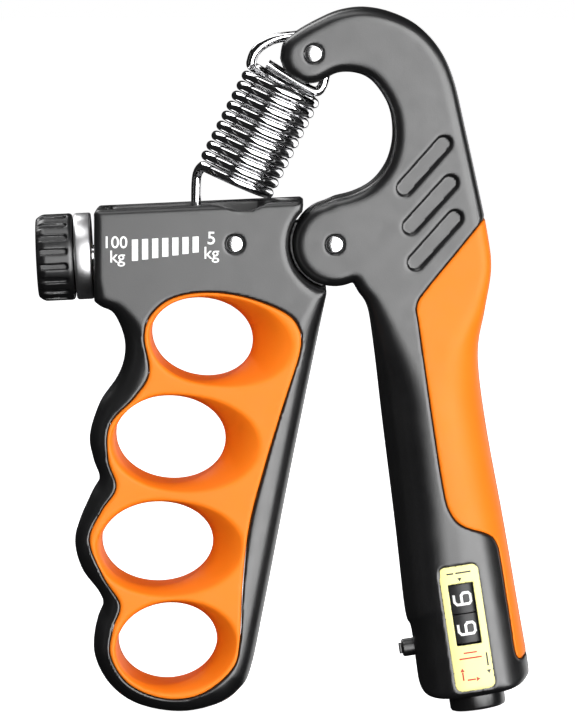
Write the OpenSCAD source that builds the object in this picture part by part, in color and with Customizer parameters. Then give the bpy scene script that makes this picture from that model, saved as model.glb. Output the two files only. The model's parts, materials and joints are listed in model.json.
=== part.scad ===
// Adjustable finger exerciser: two handles on a pivot, an extension spring whose lower hook rides
// on a screw-driven carriage, and a two-digit squeeze counter in the palm handle.
// X runs to the palm side, Y to the back, Z up. Everything is drawn about the pivot, then centred.

/* [Handles] */
// Half thickness of the finger handle
arm_half = 13.2; // [12.5:0.1:13.4]
// Half thickness of the palm handle's plate and horn
plate_half = 12; // [11:0.1:12.5]
// Half thickness of the palm grip
grip_half = 13.2; // [13:0.1:14]
// Radius of the palm handle's lobe round the pivot
lobe_r = 10.4; // [10:0.1:10.5]
// Half thickness of the tongue between the lobe's cheeks
tongue_half = 4; // [3.5:0.1:4.4]
// Radius of the pivot pin, the horn pin and the rivet
pin_r = 2.15; // [2:0.05:2.3]

/* [Adjuster] */
// Radius of the knob
knob_r = 10.4; // [9.8:0.1:10.6]
// Grooves round the knob
knob_grooves = 18; // [12:1:22]
// Radius of the lead screw
screw_r = 2.6; // [2.4:0.1:2.7]

/* [Spring] */
// Mean radius of the coil
coil_r = 8.7; // [8.4:0.1:8.8]
// Wire radius
wire_r = 1.2; // [1:0.05:1.2]
// Turns in the coil
coil_turns = 10;

/* [Counter] */
// Radius of the number wheels
wheel_r = 8.8; // [8.4:0.1:8.8]
// Width of one number wheel
wheel_w = 6.9; // [6.5:0.1:7]
// Radius of the reset knob
reset_r = 6.7; // [6:0.1:6.7]

/* [Hidden] */
$fn = 64;
clear = 0.05;          // radial running clearance
seat = 0.02;           // radial clearance of a pin in the body that holds it
cut = 1;               // how far a cutter runs past a face
centre_at = [12.1, 0, 28.1];
screw_at = [-66.5, 0, -3.6];
screw_tilt = 2.6;
horn_at = [-5.04, 45.4];
rivet_at = [-23.8, 0.2];
carriage_pin_u = 36.6; // along the screw axis
carriage_pin_w = 8.4;  // above the screw axis
carriage_pin_r = 1.55;
coil_low = [-24.1, 14.5];
coil_high = [-12.04, 38.4];
coil_tilt = atan2(coil_high.x - coil_low.x, coil_high.y - coil_low.y);
counter_at = [31.8, 0, -92.6];
handle_tilt = 8.7;
wheel_y = -2.6;        // the counter's axis lies in front of the mid plane
window_z = 4.4;        // middle of the two windows along the counter's axis
label_size = [9.7, 30.3];
label_z = 1;
button_z = -2.8;

finger_back = [
    [-57.3, -13.6], [-55.6, -14.9], [-52.6, -16.6], [-50.3, -22], [-50.2, -27], [-52.2, -32.6],
    [-56.4, -38.8], [-58.5, -45.9], [-57.6, -51.6], [-56.2, -56.2], [-58.6, -61], [-62, -69.8],
    [-60.6, -77.4], [-56.4, -83.3], [-55.4, -86.6], [-57.2, -91.6], [-57.4, -98.6], [-53.8, -105.6],
    [-47.1, -110.4], [-37, -112.2], [-28, -110.4], [-22.8, -106.8], [-20, -101.7], [-16.8, -86.5],
    [-10.5, -54], [-3.6, -20.1], [-1.9, -11.9]
];
insert_edge = [
    [-45.4, -22], [-43.8, -16.8], [-38.9, -12.8], [-31, -11.3], [-22, -12.3], [-13.2, -15.4],
    [-8.9, -19], [-8.1, -25], [-12.1, -38.1], [-16.3, -52], [-20.2, -67], [-21.9, -82],
    [-22.6, -95.3], [-24.6, -101.8], [-31.9, -107.6], [-40.5, -108.7], [-49, -105.3], [-53.2, -98.6],
    [-52.8, -92], [-51.2, -86.1], [-54, -80], [-58, -70.2], [-55.6, -63.6], [-52.1, -58],
    [-54, -51.4], [-53.6, -43], [-47.6, -36.3], [-44.2, -30.5]
];
// each finger hole: centre x, centre z, half width, half height, tilt
finger_holes = [
    [-31.6, -22.6, 11.9, 9.5, -10], [-39.2, -46.6, 12.9, 10, -3],
    [-42.3, -71.7, 13.2, 9.5, 3], [-39.9, -95.5, 11.8, 9.2, 10]
];
horn_back = [
    [-13.3, 44.1], [-12.4, 48], [-9, 50.9], [-4.2, 53.6], [1, 55.8], [7, 56.6], [13.5, 55.4],
    [20, 52.2], [25.2, 46.7], [28.6, 39.4], [31.3, 28.2], [34.6, 13.3], [36.9, 2.1], [37.7, -6],
    [36.2, -16], [34.7, -26.6], [36.7, -43.4], [41, -66.7], [44.8, -88.6], [47, -101.4],
    [46.2, -104.4], [42.5, -106.6], [34, -108.4], [27.3, -109], [22.6, -108.6], [20.4, -106],
    [19.4, -101], [18.2, -92.8], [17.2, -90.6], [16.3, -85.4], [14.2, -66.7], [11.2, -42.7],
    [9.2, -25.5], [7.6, -15.4], [5.4, -11.6]
];
horn_throat = [
    [0, 11.2], [4.2, 12.3], [8, 14.2], [10.8, 17], [12.8, 20.8], [13.7, 26], [12.9, 32],
    [9.8, 37.5], [6.2, 40.2], [1, 40.6], [-4.2, 38.2], [-8.6, 38.3], [-12.2, 41]
];
pad_left = [
    [36.6, 7.4], [29, -2], [22, -10.6], [19.6, -14.6], [20.2, -20], [23.7, -44.2], [25.9, -58],
    [27.4, -63.6], [30.4, -67.1], [36.4, -69.3], [38.7, -71.6], [39.8, -76.1], [42.2, -91.1],
    [43.2, -97.6], [44.4, -99.6], [46.3, -98.4]
];
// ends of the three recessed slots on the palm handle's face
face_slots = [
    [[25.9, 24], [16.6, 13.5]], [[27.4, 14.7], [18, 4.3]], [[28.5, 6.3], [19.2, -4.2]]
];
// each screw: x, z and how far from the mid plane its head may reach
finger_screws = [
    [-55, 5.4, arm_half], [-55, -11, arm_half], [-10.4, -13.2, arm_half], [-47.6, -30.4, 10.8],
    [-16.8, -68, 11.1]
];
palm_screws = [[14, 50, plate_half], [14, -19, 11.4], [17.2, -62, 7.3], [23.4, -104.8, 7.3]];

function mix(a, b, t) = a + (b - a) * t;
function cubic(a, b, c, d, t) =
    0.5 * (2 * b + (c - a) * t + (2 * a - 5 * b + 4 * c - d) * t * t + (3 * b - a - 3 * c + d) * t * t * t);
// open Catmull-Rom curve through the points, n steps to each span
function curve(p, n = 5) = [
    for (i = [0 : len(p) - 2], k = [0 : n - 1])
        cubic(p[max(i - 1, 0)], p[i], p[i + 1], p[min(i + 2, len(p) - 1)], k / n),
    p[len(p) - 1]
];
// closed curve through the points
function ring(p, n = 5) = let (m = len(p)) [
    for (i = [0 : m - 1], k = [0 : n - 1])
        cubic(p[(i + m - 1) % m], p[i], p[(i + 1) % m], p[(i + 2) % m], k / n)
];
function arc(r, from, to, steps) = [
    for (i = [0 : steps]) let (a = mix(from, to, i / steps)) [r * cos(a), r * sin(a)]
];
function ellipse(rx, ry, n = 72) = [for (i = [0 : n - 1]) [rx * cos(360 * i / n), ry * sin(360 * i / n)]];
finger_outline = concat(curve(finger_back), arc(10.95, 260, 134, 16),
    [[-7.4, 10.2], [-8, 10.5], [-56.6, 8.3], [-57.3, 7.6]]);
palm_outline = concat(curve(horn_back), arc(lobe_r, 294, 104, 24), curve(horn_throat));

// extrude a profile drawn in X and Z from y0 to y1
module slab(y0, y1) { translate([0, y1, 0]) rotate([90, 0, 0]) linear_extrude(y1 - y0) children(); }
module pin_y(at, r, y0, y1) {
    translate([at.x, y0, at.y]) rotate([-90, 0, 0]) cylinder(r = r, h = y1 - y0);
}
module pin_x(r, x0, x1) { translate([x0, 0, 0]) rotate([0, 90, 0]) cylinder(r = r, h = x1 - x0); }
module block(low, high) { translate(low) cube(high - low); }
module on_screw() { translate(screw_at) rotate([0, -screw_tilt, 0]) children(); }
module on_counter() {
    translate(counter_at) rotate([0, -handle_tilt, 0]) translate([0, wheel_y, 0]) children();
}
module on_spring() { translate([coil_low.x, 0, coil_low.y]) rotate([0, coil_tilt, 0]) children(); }
module stadium(a, b, r) {
    turn = atan2(b.y - a.y, b.x - a.x);
    polygon(concat([for (p = arc(r, turn + 90, turn + 270, 12)) a + p],
        [for (p = arc(r, turn - 90, turn + 90, 12)) b + p]));
}

// ---- finger handle -------------------------------------------------------------------------

module insert_profile() { polygon(ring(insert_edge)); }
module trough() {
    // channel that the carriage runs in, and the open trough above it for the coil
    on_screw() {
        block([12.1, -6.8, -5.8], [47.1, 6.8, 14]);
        block([13, -10.6, 5.2], [50, 10.6, 14]);
    }
    // dish in the front wall where the coil passes it
    intersection() {
        on_spring() translate([0, 0, -5]) cylinder(r = 14.8, h = 20);
        block([-60, -20, 0], [0, 10.3, 40]);
    }
}
module tongue() {
    difference() {
        union() {
            pin_y([0, 0], 8.8, -tongue_half, tongue_half);
            slab(-tongue_half, tongue_half)
                polygon([[-14, 3], [-5.5, 6.8], [-1.5, -8.6], [-6, -13], [-14, -13]]);
        }
        pin_y([0, 0], 3.4 + seat, -tongue_half - cut, tongue_half + cut);
    }
}
module finger_body() {
    difference() {
        union() {
            slab(-arm_half, arm_half) polygon(finger_outline);
            tongue();
        }
        slab(-arm_half - cut, arm_half + cut) insert_profile();
        trough();
        on_screw() pin_x(5.5 + seat, 8, 13);
        pin_y(rivet_at, pin_r + seat, -arm_half - cut, arm_half + cut);
        for (s = finger_screws) screw_hole([s.x, s.y], s.z);
    }
}
module screw_hole(at, half) {
    pin_y(at, 1.05, -6, half + cut);
    pin_y(at, 1.85, half - 2.4, half + cut + 2);
}
module screw(at, half) {
    pin_y(at, 1, -5.5, half - 2.2);
    difference() {
        pin_y(at, 1.75, half - 2.35, half - 0.5);
        for (turn = [0, 90])
            translate([at.x, half - 0.9, at.y]) rotate([0, turn, 0]) cube([2, 1.6, 0.5], center = true);
    }
}
module finger_handle_front_shell() {
    color("dimgray") intersection() { finger_body(); block([-80, -20, -120], [20, 0, 20]); }
}
module finger_handle_rear_shell() {
    color("dimgray") intersection() { finger_body(); block([-80, 0, -120], [20, 20, 20]); }
}
module finger_grip_insert() {
    color("darkorange") difference() {
        slab(-arm_half, arm_half) insert_profile();
        for (h = finger_holes)
            slab(-arm_half - cut, arm_half + cut)
                translate([h[0], h[1]]) rotate(h[4]) polygon(ellipse(h[2], h[3]));
    }
}
module screw_end_block() {
    color("gray") difference() {
        on_screw() block([39, -6.7, -5.7], [47, 6.7, 5]);
        on_screw() pin_x(1.8 + clear, 38, 40.5);
        pin_y(rivet_at, pin_r + seat, -10, 10);
    }
}
module arm_rivet() { color("silver") pin_y(rivet_at, pin_r, 0.3 - arm_half, arm_half - 0.3); }
module screw_bush() {
    color("goldenrod") on_screw() difference() {
        pin_x(5.5, 9.2, 12.1);
        pin_x(screw_r + clear, 9, 13);
    }
}
module pivot_bush() {
    color("peru") difference() {
        pin_y([0, 0], 3.4, -tongue_half, tongue_half);
        pin_y([0, 0], pin_r + clear, -tongue_half - cut, tongue_half + cut);
    }
}
module pivot_washers() {
    color("whitesmoke") for (y = [-tongue_half - 0.5, tongue_half])
        difference() {
            pin_y([0, 0], 7, y, y + 0.5);
            pin_y([0, 0], pin_r + clear, y - cut, y + 1.5);
        }
}
module finger_shell_screws() { color("silver") for (s = finger_screws) screw([s.x, s.y], s.z); }

// ---- adjuster ------------------------------------------------------------------------------

module adjuster_knob() {
    color("dimgray") on_screw() difference() {
        union() {
            pin_x(knob_r, -3.4, 4.2);
            translate([-4.7, 0, 0]) rotate([0, 90, 0]) cylinder(r1 = knob_r - 1.2, r2 = knob_r, h = 1.3);
        }
        for (i = [0 : knob_grooves - 1])
            rotate([360 * i / knob_grooves, 0, 0]) translate([0, 0, knob_r + 0.2]) pin_x(0.75, -6, 2.6);
        pin_x(7.2, -6, -4.1);
        pin_x(screw_r, -4.3, 5);
    }
}
module knob_end_cap() { color("black") on_screw() pin_x(7.1, -4.75, -4.1); }
module knob_collar() {
    color("silver") on_screw() difference() {
        pin_x(knob_r, 4.5, 8.5);
        pin_x(screw_r, 4, 10);
    }
}
module lead_screw() {
    color("lightgray") on_screw() {
        pin_x(screw_r, -4, 38.8);
        pin_x(1.8, 38.8, 40.3);
    }
}
module screw_retaining_clip() {
    color("gray") on_screw() difference() {
        pin_x(4.6, 12.3, 13);
        pin_x(screw_r, 12, 14);
        block([12, -1.5, -6], [14, 1.5, 0]);
    }
}

// ---- carriage and spring -------------------------------------------------------------------

module spring_carriage() {
    color("slategray") on_screw() difference() {
        block([31.4, -6.6, -5.6], [38.6, 6.6, 10.4]);
        block([31, -1.5, 4.1], [39, 1.5, 11]);
        pin_x(3.7, 31, 39);
        translate([carriage_pin_u, -8, carriage_pin_w]) rotate([-90, 0, 0])
            cylinder(r = carriage_pin_r + seat, h = 16);
    }
}
module carriage_nut() {
    color("goldenrod") on_screw() difference() {
        pin_x(3.7, 31.4, 38.6);
        pin_x(screw_r + clear, 31, 39);
    }
}
module carriage_pin() {
    color("silver") on_screw()
        translate([carriage_pin_u, -6.5, carriage_pin_w]) rotate([-90, 0, 0])
            cylinder(r = carriage_pin_r, h = 13);
}

hook_r = 2.8;
hook_at = [-30.3, 6.45];
coil_len = norm(coil_high - coil_low);
function spring_point(r, turn, along) =
    let (x = -r * cos(turn), y = -r * sin(turn))
    [coil_low.x + x * cos(coil_tilt) + along * sin(coil_tilt), y,
     coil_low.y - x * sin(coil_tilt) + along * cos(coil_tilt)];
top_hook = [
    [-19.9, 42.7], [-19.3, 44.9], [-17.5, 47], [-14.3, 48.7], [-10.5, 49.3], [-6.4, 49.5], [-3.1, 48.5],
    [-1.5, 46], [-1.5, 43], [-2.2, 39.7], [-2.9, 37.3], [-4.3, 36.1], [-6.4, 36.8], [-11, 39.6], [-16, 42.7]
];
spring_path = concat(
    [for (a = [20 : -20 : -180]) [hook_at.x + hook_r * cos(a), 0, hook_at.y + hook_r * sin(a)]],
    [[-33.1, 0, 11], [-33, 0, 14.4], [-32.6, -0.6, 16.8]],
    [for (i = [1 : coil_turns * 20 - 1]) spring_point(coil_r, i * 18, coil_len * i / coil_turns / 20)],
    [for (p = curve(top_hook, 4)) [p.x, 0, p.y]]
);
// tube of eight sides along a path, its rings square to the path
function ring_at(p, i, r) =
    let (t = p[min(i + 1, len(p) - 1)] - p[max(i - 1, 0)],
         side = cross(t, [sin(coil_tilt), 0.02, cos(coil_tilt)]),
         u = side / norm(side), v = cross(t, u) / norm(t))
    [for (k = [0 : 7]) p[i] + r * (cos(45 * k) * u + sin(45 * k) * v)];
module tube(p, r) {
    m = len(p);
    polyhedron(
        [for (i = [0 : m - 1]) each ring_at(p, i, r)],
        concat([[for (k = [0 : 7]) k]], [[for (k = [7 : -1 : 0]) (m - 1) * 8 + k]],
            [for (i = [0 : m - 2], k = [0 : 7])
                [i * 8 + k, (i + 1) * 8 + k, (i + 1) * 8 + (k + 1) % 8, i * 8 + (k + 1) % 8]]));
}
module main_spring() { color("silver") tube(spring_path, wire_r); }

// ---- palm handle ---------------------------------------------------------------------------

module grip_oval(inset) {
    // two oval bars along the handle, which the outline trims at their sides
    translate([24.5, 0, -46]) rotate([0, -handle_tilt, 0]) translate([0, 0, -70])
        linear_extrude(100) polygon(ellipse(15 - inset, grip_half - inset));
    translate([22.6, 0, -50]) rotate([0, 1.5, 0])
        linear_extrude(80) polygon(ellipse(15.5 - inset, grip_half - 0.05 - inset));
}
module palm_solid() {
    slab(-plate_half, plate_half) intersection() {
        polygon(palm_outline);
        translate([-20, -16]) square([80, 80]);
    }
    intersection() {
        slab(-grip_half, grip_half) intersection() {
            polygon(palm_outline);
            translate([0, -120]) square([60, 104]);
        }
        grip_oval(0);
    }
}
module pad_region() {
    difference() {
        slab(-20, 20) polygon(concat(curve(pad_left, 4), [[60, -98], [60, 7.4]]));
        grip_oval(3);
    }
}
module pivot_gap() {
    gap = tongue_half + 0.6;
    pin_y([0, 0], 9.2, -gap, gap);
    slab(-gap, gap) polygon([[0, 0], [-9, 22], [-30, 10], [-30, -30], [4.6, -18]]);
}
module counter_hole() {
    on_counter() {
        translate([0, 0, -9]) cylinder(r = wheel_r + 0.5, h = 23.5);
        translate([0, 0, -20]) cylinder(r = reset_r + 0.2, h = 12);
        translate([0, 0, 14]) cylinder(r = 6, h = 57);
        block([-2.95, -12, window_z - 7.35], [2.95, -4, window_z + 7.35]);
        translate([0, -wheel_y, button_z]) pin_x(2.2 + clear + 0.05, -20, -5);
    }
}
module palm_body() {
    difference() {
        palm_solid();
        pad_region();
        pivot_gap();
        counter_hole();
        pin_y([0, 0], pin_r + seat, -20, 20);
        pin_y(horn_at, pin_r + seat, -20, 20);
        slab(-1.7, 1.7) polygon(concat([[-20, 34], [1.8, 34]],
            [for (p = arc(5.8, 0, 90, 8)) horn_at + p + [1, 0]], [[-20, 52]]));
        for (s = face_slots, face = [-1, 1])
            slab(face * plate_half - 1, face * plate_half + 1) stadium(s[0], s[1], 1.8);
        for (s = palm_screws) screw_hole([s.x, s.y], s.z);
        counter_label_solid(0.02);
    }
}
module palm_handle_front_shell() {
    color("dimgray") intersection() { palm_body(); block([-20, -20, -120], [60, 0, 60]); }
}
module palm_handle_rear_shell() {
    color("dimgray") intersection() { palm_body(); block([-20, 0, -120], [60, 20, 60]); }
}
module palm_grip_pad() { color("darkorange") intersection() { palm_solid(); pad_region(); } }
module pivot_pin() { color("silver") pin_y([0, 0], pin_r, 0.3 - plate_half, plate_half - 0.3); }
module horn_pin() { color("silver") pin_y(horn_at, pin_r, 0.3 - plate_half, plate_half - 0.3); }
module palm_shell_screws() { color("silver") for (s = palm_screws) screw([s.x, s.y], s.z); }

// ---- counter -------------------------------------------------------------------------------

module counter_label_solid(spare) {
    // curved plate let into the grip's face
    half = label_size / 2;
    intersection() {
        difference() { grip_oval(0); grip_oval(0.5 + spare); }
        translate(counter_at) rotate([0, -handle_tilt, 0]) translate([0, 0, label_z])
            slab(-20, -5) polygon(concat([for (p = arc(1.7, 0, 90, 6)) half - [1.7, 1.7] + p],
                [for (p = arc(1.7, 90, 180, 6)) [-half.x, half.y] + [1.7, -1.7] + p],
                [for (p = arc(1.7, 180, 270, 6)) -half + [1.7, 1.7] + p],
                [for (p = arc(1.7, 270, 360, 6)) [half.x, -half.y] + [-1.7, 1.7] + p]));
    }
}
module counter_label() {
    color("khaki") difference() {
        counter_label_solid(0);
        on_counter() block([-2.95, -12, window_z - 7.35], [2.95, -4, window_z + 7.35]);
    }
}
module counter_frame() {
    color("gray") on_counter() difference() {
        union() {
            translate([0, 0, 12.3]) cylinder(r = wheel_r + 0.4, h = 1.8);
            translate([0, 0, -8.8]) cylinder(r = wheel_r + 0.4, h = 1.6);
            intersection() {
                difference() {
                    translate([0, 0, -8.8]) cylinder(r = wheel_r + 0.4, h = 22.9);
                    translate([0, 0, -10]) cylinder(r = wheel_r + 0.15, h = 26);
                }
                block([-4, 5, -9], [4, 12, 15]);
            }
        }
        translate([0, 0, -20]) cylinder(r = 2 + clear, h = 40);
    }
}
module detent_leaf() {
    color("silver") on_counter() difference() {
        translate([-8.6, -1.5, 12.1]) cube([6, 3, 0.2]);
        translate([0, 0, 11.5]) cylinder(r = 2.6, h = 2);
    }
}
module wheel(z, top) {
    difference() {
        union() {
            translate([0, 0, z]) cylinder(r = wheel_r, h = wheel_w);
            if (!top) ratchet(z - 2);
        }
        translate([0, 0, -20]) cylinder(r = 2 + clear, h = 40);
    }
}
module ratchet(z) {
    translate([0, 0, z]) linear_extrude(2)
        polygon([for (i = [0 : 9], k = [0, 1]) (k == 0 ? 6.2 : 4.8) * [cos(36 * i), sin(36 * i)]]);
}
module units_wheel() { color("black") on_counter() wheel(window_z - 0.15 - wheel_w, false); }
module tens_wheel() { color("black") on_counter() wheel(window_z + 0.15, true); }
module count_button() {
    color("dimgray") on_counter() translate([0, -wheel_y, button_z]) {
        pin_x(2.2, -16, -10.95);
        for (side = [-1, 1]) translate([-16.8, side * 0.9 - 0.45, -1.2]) cube([0.9, 0.9, 2.4]);
    }
}
module drive_pawl() {
    color("silver") on_counter() translate([0, -wheel_y, button_z])
        block([-10.95, -0.9, -1.4], [-8.4, 0.9, -0.6]);
}
module reset_thrust_washer() {
    color("goldenrod") on_counter() difference() {
        translate([0, 0, -12.4]) cylinder(r = 5.2, h = 0.8);
        translate([0, 0, -20]) cylinder(r = 2 + clear, h = 20);
    }
}
module reset_spring() {
    color("silver") on_counter() difference() {
        translate([0, 0, -11.5]) cylinder(r = 3.6, h = 2.6);
        translate([0, 0, -12]) cylinder(r = 2.9, h = 4);
    }
}
module reset_knob() {
    color("dimgray") on_counter() difference() {
        translate([0, 0, -19.4]) cylinder(r = reset_r, h = 6.9);
        translate([0, 0, -17]) cylinder(r = 2, h = 6);
    }
}
module reset_spindle() { color("silver") on_counter() translate([0, 0, -17]) cylinder(r = 2, h = 30.7); }

translate(centre_at) {
    finger_handle_front_shell();
    finger_handle_rear_shell();
    finger_grip_insert();
    screw_end_block();
    arm_rivet();
    screw_bush();
    pivot_bush();
    pivot_washers();
    finger_shell_screws();
    adjuster_knob();
    knob_collar();
    knob_end_cap();
    lead_screw();
    screw_retaining_clip();
    spring_carriage();
    carriage_nut();
    carriage_pin();
    main_spring();
    palm_handle_front_shell();
    palm_handle_rear_shell();
    palm_grip_pad();
    pivot_pin();
    horn_pin();
    palm_shell_screws();
    counter_frame();
    counter_label();
    detent_leaf();
    count_button();
    drive_pawl();
    units_wheel();
    tens_wheel();
    reset_thrust_washer();
    reset_spring();
    reset_knob();
    reset_spindle();
}
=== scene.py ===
"""Looks of the finger exerciser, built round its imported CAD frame. Shapes are in mm about the pivot."""
import json
import math

import bpy
import numpy as np
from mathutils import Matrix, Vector


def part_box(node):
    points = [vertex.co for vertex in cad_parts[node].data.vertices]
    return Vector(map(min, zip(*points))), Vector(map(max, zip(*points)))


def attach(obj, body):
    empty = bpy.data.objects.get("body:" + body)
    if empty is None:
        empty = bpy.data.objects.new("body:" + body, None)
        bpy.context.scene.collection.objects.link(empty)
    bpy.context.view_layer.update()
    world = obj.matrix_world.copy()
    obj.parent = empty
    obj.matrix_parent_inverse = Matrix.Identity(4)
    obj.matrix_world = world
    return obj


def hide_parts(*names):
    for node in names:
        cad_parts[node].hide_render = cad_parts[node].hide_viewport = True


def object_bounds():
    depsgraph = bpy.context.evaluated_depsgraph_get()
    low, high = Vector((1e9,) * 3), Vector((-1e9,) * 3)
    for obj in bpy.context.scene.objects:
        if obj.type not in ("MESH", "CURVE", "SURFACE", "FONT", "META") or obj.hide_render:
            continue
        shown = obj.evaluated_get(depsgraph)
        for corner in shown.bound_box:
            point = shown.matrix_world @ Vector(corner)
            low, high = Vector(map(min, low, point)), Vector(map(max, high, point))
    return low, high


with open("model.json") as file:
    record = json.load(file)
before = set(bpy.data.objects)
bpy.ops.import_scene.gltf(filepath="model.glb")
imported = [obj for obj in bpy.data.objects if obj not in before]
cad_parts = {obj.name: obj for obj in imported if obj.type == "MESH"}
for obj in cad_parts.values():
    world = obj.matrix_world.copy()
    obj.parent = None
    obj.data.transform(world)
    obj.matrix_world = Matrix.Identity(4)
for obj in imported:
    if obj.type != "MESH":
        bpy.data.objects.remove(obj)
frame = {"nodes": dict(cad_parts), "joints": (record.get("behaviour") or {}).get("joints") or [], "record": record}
cad_box = [[float(c) for c in corner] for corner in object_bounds()]
joints = {j["name"]: j for j in frame["joints"]}

MM = 0.001
PIVOT = Vector(joints["squeeze"]["pos_m"])
PIN_SUNK = 0.3                  # how far a pin's end lies below the face round it
ARM_HALF = -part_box("finger_handle_front_shell")[0].y / MM
GRIP_HALF = -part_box("palm_handle_front_shell")[0].y / MM
PLATE_HALF = -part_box("pivot_pin")[0].y / MM + PIN_SUNK
PIN_R = (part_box("pivot_pin")[1].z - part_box("pivot_pin")[0].z) / MM / 2
PIN_GAP = 0.12                  # radial gap round a pin
STEP = 0.5


def local(point):
    """A row-frame point in metres as mm about the pivot."""
    return np.array((Vector(point) - PIVOT) / MM)


# ---- outlines ------------------------------------------------------------------------------

FINGER_BACK = [
    (-57.3, -13.6), (-55.6, -14.9), (-52.6, -16.6), (-50.3, -22), (-50.2, -27), (-52.2, -32.6),
    (-56.4, -38.8), (-58.5, -45.9), (-57.6, -51.6), (-56.2, -56.2), (-58.6, -61), (-62, -69.8),
    (-60.6, -77.4), (-56.4, -83.3), (-55.4, -86.6), (-57.2, -91.6), (-57.4, -98.6), (-53.8, -105.6),
    (-47.1, -110.4), (-37, -112.2), (-28, -110.4), (-22.8, -106.8), (-20, -101.7), (-16.8, -86.5),
    (-10.5, -54), (-3.6, -20.1), (-1.9, -11.9)]
INSERT_EDGE = [
    (-45.4, -22), (-43.8, -16.8), (-38.9, -12.8), (-31, -11.3), (-22, -12.3), (-13.2, -15.4),
    (-8.9, -19), (-8.1, -25), (-12.1, -38.1), (-16.3, -52), (-20.2, -67), (-21.9, -82),
    (-22.6, -95.3), (-24.6, -101.8), (-31.9, -107.6), (-40.5, -108.7), (-49, -105.3), (-53.5, -98.6),
    (-53, -92), (-51.2, -86.1), (-55, -79.8), (-58.5, -70.8), (-55.6, -63.6), (-52.1, -58),
    (-54, -51.4), (-53.6, -43), (-47.6, -36.3), (-44.2, -30.5)]
HORN_BACK = [
    (-13.3, 44.1), (-12.4, 48), (-9, 50.9), (-4.2, 53.6), (1, 55.8), (7, 56.6), (13.5, 55.4),
    (20, 52.2), (25.2, 46.7), (28.6, 39.4), (31.3, 28.2), (34.6, 13.3), (36.9, 2.1), (37.7, -6),
    (36.2, -16), (34.7, -26.6), (36.7, -43.4), (41, -66.7), (44.8, -88.6), (47, -101.4)]
HEEL = [(46.2, -104.4), (42.5, -106.6), (34, -108.4), (27.3, -109), (22.6, -108.6), (20.4, -106)]
# for the grip's sides, which run on past the heel
HEEL_OPEN = [(49.5, -118), (51, -130), (22, -130), (21.2, -118)]
PALM_FRONT = [
    (19.4, -101), (18.2, -92.8), (17.2, -90.6), (16.3, -85.4), (14.2, -66.7), (11.2, -42.7),
    (9.2, -25.5), (7.6, -15.4), (5.4, -11.6)]
HORN_THROAT = [
    (0, 11.2), (4.2, 12.3), (8, 14.2), (10.8, 17), (12.8, 20.8), (13.7, 26), (12.9, 32),
    (9.8, 37.5), (6.2, 40.2), (1, 40.6), (-4.2, 38.2), (-8.6, 38.3), (-12.2, 41)]
PAD_LEFT = [
    (36.6, 7.4), (29, -2), (22, -10.6), (19.6, -14.6), (20.2, -20), (23.7, -44.2), (25.9, -58),
    (27.4, -63.6), (30.4, -67.1), (36.4, -69.3), (38.7, -71.6), (39.8, -76.1), (42.2, -91.1),
    (43.2, -97.6), (44.4, -99.6), (46.3, -98.4)]
# each finger hole: centre, half sizes and tilt, then the centre and half sizes of the bowl round it
FINGER_HOLES = [
    ((-31.7, -22.6), (12.2, 9.9), -10, (-26.9, -22.9), (18.2, 11.2)),
    ((-39.3, -46.7), (13.2, 10.6), -3, (-35.6, -47.5), (18.7, 12)),
    ((-42.5, -71.8), (13.4, 10.3), 3, (-39.4, -72.7), (18.4, 11.8)),
    ((-40.1, -95.8), (12, 9.9), 10, (-37.7, -96.2), (15.2, 11.5))]
FACE_SLOTS = [((25.9, 24), (16.6, 13.5)), ((27.4, 14.7), (18, 4.3)), ((28.5, 6.3), (19.2, -4.2))]
HORN_PIN = (-5.04, 45.4)
RIVET = (-23.8, 0.2)
# each screw: its place, and the level near the face there that its well is measured from
FINGER_SCREWS = [
    (-55, 5.4, ARM_HALF), (-55, -11, ARM_HALF), (-10.4, -13.2, ARM_HALF), (-47.6, -30.4, 10.8),
    (-16.8, -68, 11.1)]
PALM_SCREWS = [(14, 50, PLATE_HALF), (14, -19, 11.4), (17.2, -62, 7.3), (23.4, -104.8, 7.3)]


def curve(points, steps=6, closed=False):
    """Catmull-Rom points through the given ones."""
    p = np.array(points, float)
    count = len(p)
    at = (lambda i: p[i % count]) if closed else (lambda i: p[min(max(i, 0), count - 1)])
    out = []
    for i in range(count if closed else count - 1):
        a, b, c, d = at(i - 1), at(i), at(i + 1), at(i + 2)
        square = 2 * a - 5 * b + 4 * c - d
        cube = 3 * b - a - 3 * c + d
        for t in np.arange(steps) / steps:
            out.append(0.5 * (2 * b + (c - a) * t + square * t**2 + cube * t**3))
    return out if closed else out + [p[-1]]


def arc(radius, start, end, steps, centre=(0, 0)):
    """Points round a centre from one angle to another, in degrees."""
    x, z = centre
    angles = np.radians(np.linspace(start, end, steps + 1))
    return [np.array((x + radius * math.cos(a), z + radius * math.sin(a))) for a in angles]


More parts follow.
